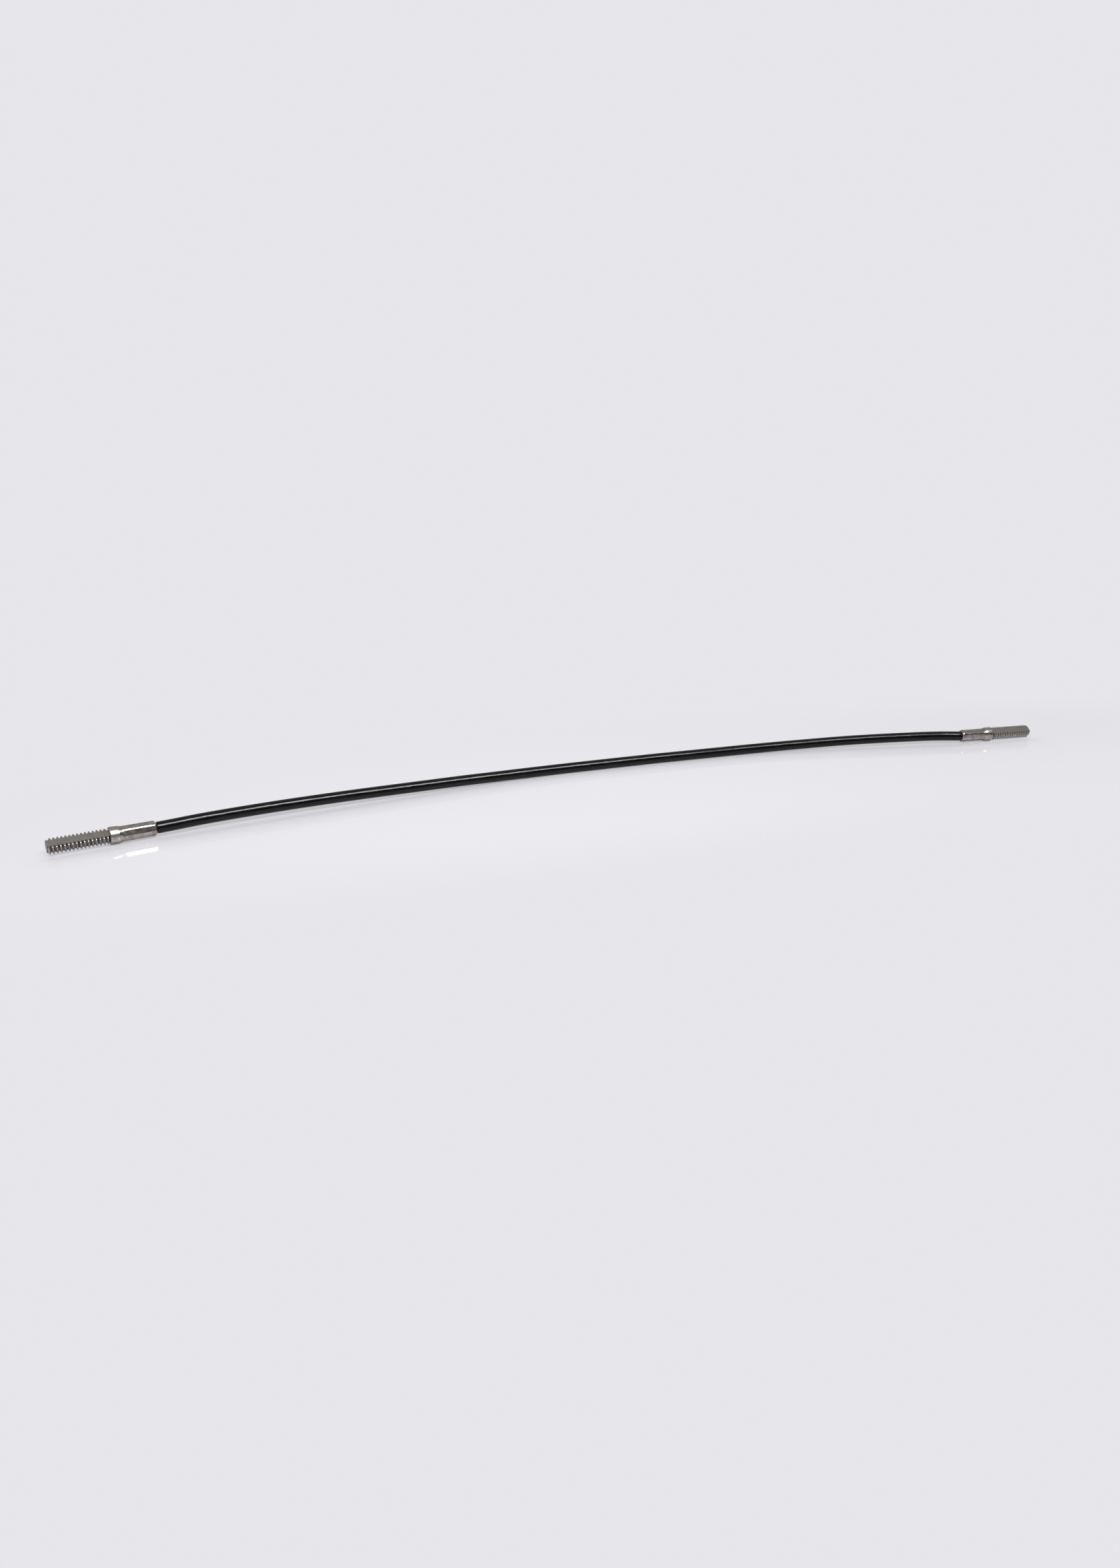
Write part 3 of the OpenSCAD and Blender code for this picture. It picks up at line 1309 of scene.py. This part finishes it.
    def _body_outline(self) -> list[tuple[float, float | None, float, StudPart]]:
        """List the rings of the body from the collar's face to the end of the bore.

        Returns:
            Height, radius or None for the outside's own, how far the ring is set in, and the part
            that starts there.
        """
        shoulder, edge, lip = self.shoulder, self.collar_rounding, self.mouth_rounding
        face = [
            (shoulder, self.collar_d / 2 - inset, 0.0, StudPart.COLLAR)
            for inset in self.FACE_INSETS
        ]
        rim = [
            (shoulder - edge * (1 - math.cos(t)), None, edge * (1 - math.sin(t)), StudPart.COLLAR)
            for t in QUARTER
        ]
        top = self.barrel_len - self.runout_len - self.BARREL_MARGIN
        share = (top - lip - self.BARREL_MARGIN) / self.BARREL_RINGS
        heights = (
            *(shoulder - edge - self.COLLAR_STEP * i for i in range(1, self.COLLAR_RINGS + 1)),
            *(self.barrel_len + self.RUNOUT_LIFT - self.RUNOUT_STEP * i
              for i in range(self.RUNOUT_RINGS)),
            *(top - share * i for i in range(1, self.BARREL_RINGS + 1)),
        )
        outside = [
            (z, None, 0.0, StudPart.COLLAR if z > self.barrel_len else StudPart.BARREL)
            for z in heights
        ]
        mouth = [
            (lip * (1 - math.sin(t)), None, lip * (1 - math.cos(t)), StudPart.BARREL)
            for t in QUARTER
        ]
        bore = self.bore_d / 2
        inside = [
            (0.0, bore + self.bore_break, 0.0, StudPart.BARREL),
            (self.bore_break, bore, 0.0, StudPart.BORE),
            (self.bore_depth / 2, bore, 0.0, StudPart.BORE),
            (self.bore_depth, bore, 0.0, StudPart.BORE),
        ]
        return [*face, *rim, *outside, *mouth, *inside]

    def _body_mesh(self, name: str) -> bpy.types.Mesh:
        """Make the collar and the barrel with its bore.

        Args:
            name: The mesh's name.

        Returns:
            The closed mesh, in millimetres.
        """
        shell = Shell()
        angles = circle(self.columns)
        before: list[int] = []
        part = StudPart.COLLAR
        for z, radius, inset, next_part in self._body_outline():
            radii = [(self.outside(a, z) if radius is None else radius) - inset for a in angles]
            ring = shell.ring([
                Vector((r * math.cos(a), r * math.sin(a), z)) for r, a in zip(radii, angles)
            ])
            if before:
                shell.band(before, ring, part.value)
            else:
                shell.cap(ring, Vector((0, 0, z)), next_part.value)
            before, part = ring, next_part
        point = self.bore_depth + self.bore_d / 2 / math.tan(math.radians(self.drill_angle))
        shell.cap(before, Vector((0, 0, point)), StudPart.BORE.value)
        return shell.mesh(name)

    def _thread_radius(self, z: float, depth: float) -> float:
        """Find the thread's radius at a height.

        Args:
            z: The height in millimetres.
            depth: How far the thread form is below its crest there.

        Returns:
            The radius, down in the neck beside the collar and limited by the lead at the tip.
        """
        crest = self.thread_d / 2
        deepest = self.THREAD_FORM[0][1]
        rise = min(1.0, max(0.0, (z - self.shoulder - self.neck_len) / self.fade_len))
        threaded = crest - deepest + (deepest - depth) * rise
        return min(threaded, crest - self.lead + max(0.0, self.tip - z))

    def _thread_mesh(self, name: str) -> bpy.types.Mesh:
        """Make the thread as a right-hand helix with two milled flats.

        Each column of points is one step round the axis and one step up the helix, and the last
        column joins the first one a pitch further up.

        Args:
            name: The mesh's name.

        Returns:
            The closed mesh, in millimetres. Its foot is inside the collar.
        """
        foot = self.shoulder - self.FOOT
        base = foot - self.SPARE
        rows = len(self.THREAD_FORM)
        first = math.floor(base / self.pitch - self.first_crest) - 1
        turns = math.ceil(self.tip / self.pitch) - first + 2
        form = bmesh.new()
        columns = []
        for k, angle in enumerate(circle(self.columns)):
            column = []
            for row in range(rows * turns):
                place, depth = self.THREAD_FORM[row % rows]
                lift = first + row // rows + place + self.first_crest + k / self.columns
                z = max(base, lift * self.pitch)
                r = self._thread_radius(z, depth)
                column.append(form.verts.new((r * math.cos(angle), r * math.sin(angle), z)))
            columns.append(column)
        for k, column in enumerate(columns):
            wraps = k + 1 == self.columns
            beside = columns[0][rows:] if wraps else columns[k + 1]
            for row in range(len(beside) - 1):
                form.faces.new((column[row], beside[row], beside[row + 1], column[row + 1]))
        bmesh.ops.remove_doubles(form, verts=form.verts, dist=SAME_POINT)
        bmesh.ops.dissolve_degenerate(form, edges=form.edges, dist=ON_CUT)
        for face in form.faces:
            face.smooth = True
            face.material_index = StudPart.THREAD.value
        for side in (1, -1):
            for lean in (1, -1):
                self._break_corner(form, side, lean)
        # Both ends are closed before the flats, so that each flat's outline is a closed one
        for end, outwards in ((foot, -1), (self.tip, 1)):
            self._cut(form, Vector((0, 0, end)), Vector((0, 0, outwards)), StudPart.THREAD)
        for side in (1, -1):
            square = Vector((side, 0, 0))
            self._cut(form, square * (self.flats_across / 2), square, StudPart.FLAT)
        bmesh.ops.recalc_face_normals(form, faces=form.faces)
        mesh = bpy.data.meshes.new(name)
        form.to_mesh(mesh)
        form.free()
        return mesh

    def _break_corner(self, form: bmesh.types.BMesh, side: int, lean: int) -> None:
        """Take the burr off the crests beside a flat, as a file would.

        Args:
            form: The thread.
            side: The flat's side, 1 or -1 along local X.
            lean: The flat's edge, 1 or -1 along local Y.
        """
        crest = self.thread_d / 2
        corner = math.acos(self.flats_across / 2 / crest)
        normal = Vector((side * math.cos(corner / 2), lean * math.sin(corner / 2), 0))
        depth = crest * math.cos(corner / 2) - self.burr
        self._cut(form, normal * depth, normal, StudPart.THREAD)

    @staticmethod
    def _cut(form: bmesh.types.BMesh, point: Vector, normal: Vector, part: StudPart) -> None:
        """Cut away what is beyond a plane, and close the cut with flat faces.

        Args:
            form: The mesh to cut.
            point: A point of the plane.
            normal: The plane's normal, towards what goes.
            part: The finish of the new faces.
        """
        everything = [*form.verts, *form.edges, *form.faces]
        cut = bmesh.ops.bisect_plane(
            form, geom=everything, dist=ON_CUT, plane_co=point, plane_no=normal, clear_outer=True
        )
        edges = [
            g for g in cut["geom_cut"] if isinstance(g, bmesh.types.BMEdge) and g.is_boundary
        ]
        filled = bmesh.ops.triangle_fill(form, edges=edges, normal=normal)
        for face in filled["geom"]:
            if isinstance(face, bmesh.types.BMFace):
                face.material_index = part.value


def stud_placement(mouth: Vector, heading: float, lean: float) -> Matrix:
    """Work out where a stud goes.

    Args:
        mouth: The middle of its barrel's mouth, in metres.
        heading: The direction it points in on the table, in degrees from +X.
        lean: Its turn about its own axis, in degrees.

    Returns:
        The matrix from the stud's own frame to the link's frame.
    """
    return (
        Matrix.Translation(mouth)
        @ Matrix.Rotation(math.radians(heading), 4, "Z")
        @ Matrix.Rotation(math.radians(90), 4, "Y")
        @ Matrix.Rotation(math.radians(lean), 4, "Z")
    )


@dataclass(frozen=True)
class SoftBox:
    """A flat studio lamp, which runs along the link and faces one point of the table.

    Attributes:
        name: The lamp's name.
        away: Its distance from that point, in metres.
        rise: Its height over the front horizon, seen from that point, in degrees.
        length: Its length, level and across its aim.
        height: Its height.
        radiance: Its brightness, where 1 is a white surface in this light.
        use: What it is for.
    """

    # The point of the table that every lamp faces, in metres
    TARGET: ClassVar[tuple[float, float, float]] = (-0.04, 0.005, 0.0)

    name: str
    away: float
    rise: float
    length: float
    height: float
    radiance: float
    use: LampUse

    def build(self) -> None:
        """Make the lamp, which lights and is mirrored as its use says, but isn't seen itself."""
        lamp = bpy.data.lights.new(self.name, "AREA")
        lamp.shape = "RECTANGLE"
        lamp.size = self.length
        lamp.size_y = self.height
        lamp.energy = self.radiance * math.pi * self.length * self.height
        made = bpy.data.objects.new(self.name, lamp)
        rise = math.radians(self.rise)
        across, ahead, _ = self.TARGET
        place = Vector((across, ahead - self.away * math.cos(rise), self.away * math.sin(rise)))
        aim = (Vector(self.TARGET) - place).to_track_quat("-Z", "Y")
        made.matrix_world = Matrix.Translation(place) @ aim.to_matrix().to_4x4()
        made.visible_camera = False
        made.visible_diffuse, made.visible_glossy = self.use.value
        bpy.context.scene.collection.objects.link(made)


@dataclass(frozen=True)
class Studio:
    """The table, the lamps, the room's light and the camera.

    Attributes:
        table_size: Side of the table in metres.
        camera_place: The camera's place in metres.
        camera_aim: Its direction on the table, as x and y.
        camera_pitch: How far it looks down, in degrees.
        camera_lens: Its focal length on a 36 mm sensor, in millimetres.
        room: The room's brightness, by degrees over the top from the front horizon.
        lamps: The lamps.
    """

    table_size: float = 80.0
    camera_place: tuple[float, float, float] = (-0.14983, -0.32933, 0.1129)
    camera_aim: tuple[float, float] = (0.36595, 0.93064)
    camera_pitch: float = 17.32
    camera_lens: float = 25.33
    room: tuple[tuple[float, float], ...] = (
        (0, 0.02), (35, 0.04), (50, 0.13), (70, 0.2), (92, 0.21), (104, 0.31), (114, 0.36),
        (122, 0.43), (143, 0.43), (160, 0.5), (180, 0.5),
    )
    lamps: tuple[SoftBox, ...] = (
        SoftBox("strip_over_the_front", 0.6, 56.5, 0.72, 0.14, 9.6, LampUse.BOTH),
        SoftBox("reflector_behind_the_strip", 0.64, 56.5, 0.72, 0.2, 13.0, LampUse.MIRRORED),
        SoftBox("box_behind_the_link", 0.6, 145.0, 0.8, 0.4, 2.4, LampUse.MATT),
    )

    def build_camera(self) -> None:
        """Place the camera, which looks down a little along the link."""
        data = bpy.data.cameras.new("camera")
        data.sensor_width = 36.0
        data.lens = self.camera_lens
        data.clip_start = 0.01
        data.clip_end = 200.0
        camera = bpy.data.objects.new("camera", data)
        down = math.radians(self.camera_pitch)
        ahead = Vector((
            self.camera_aim[0] * math.cos(down),
            self.camera_aim[1] * math.cos(down),
            -math.sin(down),
        )).normalized()
        right = ahead.cross(UP).normalized()
        axes = Matrix((right, right.cross(ahead), -ahead)).transposed()
        camera.matrix_world = Matrix.Translation(self.camera_place) @ axes.to_4x4()
        bpy.context.scene.collection.objects.link(camera)
        bpy.context.scene.camera = camera

    def build_table(self) -> None:
        """Lay the white sheet that the link lies on."""
        half = self.table_size / 2
        mesh = bpy.data.meshes.new("table")
        corners = [(-half, -half, 0), (half, -half, 0), (half, half, 0), (-half, half, 0)]
        mesh.from_pydata(corners, [], [(0, 1, 2, 3)])
        mesh.materials.append(WHITE_SHEET.material())
        table = bpy.data.objects.new("table", mesh)
        bpy.context.scene.collection.objects.link(table)

    def build_room(self) -> None:
        """Light the room: dark in front, grey overhead and bright at the back."""
        world = bpy.data.worlds.new("room")
        world.use_nodes = True
        tree = world.node_tree
        tree.nodes.clear()
        look = add_node(tree, "ShaderNodeTexCoord").outputs["Generated"]
        parts = add_node(tree, "ShaderNodeSeparateXYZ", links={0: look})
        forward = add_node(
            tree, "ShaderNodeMath", {"operation": "MULTIPLY", 1: -1.0}, {0: parts.outputs[1]}
        )
        over = add_node(
            tree, "ShaderNodeMath", {"operation": "ARCTAN2"},
            {0: parts.outputs[2], 1: forward.outputs[0]},
        )
        share = add_node(
            tree, "ShaderNodeMapRange", {"From Min": 0.0, "From Max": math.pi},
            {0: over.outputs[0]},
        )
        ramp = add_node(tree, "ShaderNodeValToRGB", links={0: share.outputs[0]})
        fill_ramp(ramp, [(degrees / 180, grey) for degrees, grey in self.room])
        light = add_node(tree, "ShaderNodeBackground", links={"Color": ramp.outputs[0]})
        backdrop = add_node(tree, "ShaderNodeBackground", {"Color": linear_colour(BACKDROP)})
        seen = add_node(tree, "ShaderNodeLightPath").outputs["Is Camera Ray"]
        mixed = add_node(
            tree, "ShaderNodeMixShader",
            links={0: seen, 1: light.outputs[0], 2: backdrop.outputs[0]},
        )
        add_node(tree, "ShaderNodeOutputWorld", links={"Surface": mixed.outputs[0]})
        bpy.context.scene.world = world

    def build_lamps(self) -> None:
        """Hang every lamp."""
        for lamp in self.lamps:
            lamp.build()


def main() -> None:
    """Build the camera, the cable, the two studs, and the table, room and lamps round them."""
    logging.basicConfig(level=logging.INFO, format="%(message)s")
    bpy.context.scene.view_settings.view_transform = "Standard"
    studio = Studio()
    studio.build_camera()

    left, right = math.radians(LEFT_HEADING), math.radians(RIGHT_HEADING)
    route = CableRoute(
        [Vector(point) for point in ROUTE],
        left_direction=Vector((math.cos(left), math.sin(left), 0)),
        right_direction=Vector((math.cos(right), math.sin(right), 0)),
    )
    log.info("cable: %.1f mm from mouth to mouth", route.length / MM)
    cover = Jacket()
    jacket = cover.build(route)
    cover.declare(route, Strand().build(route))

    for end, hex_turn, mouth, heading, lean in (
        ("left", -43, ROUTE[0], LEFT_HEADING + 180, -29),
        ("right", 50, ROUTE[-1], RIGHT_HEADING, 36),
    ):
        placement = stud_placement(Vector(mouth), heading, lean)
        CrimpStud(hex_turn).build(f"machined_{end}_stud", f"{end}_stud", placement)

    studio.build_table()
    studio.build_room()
    studio.build_lamps()


if __name__ == "__main__":
    main()
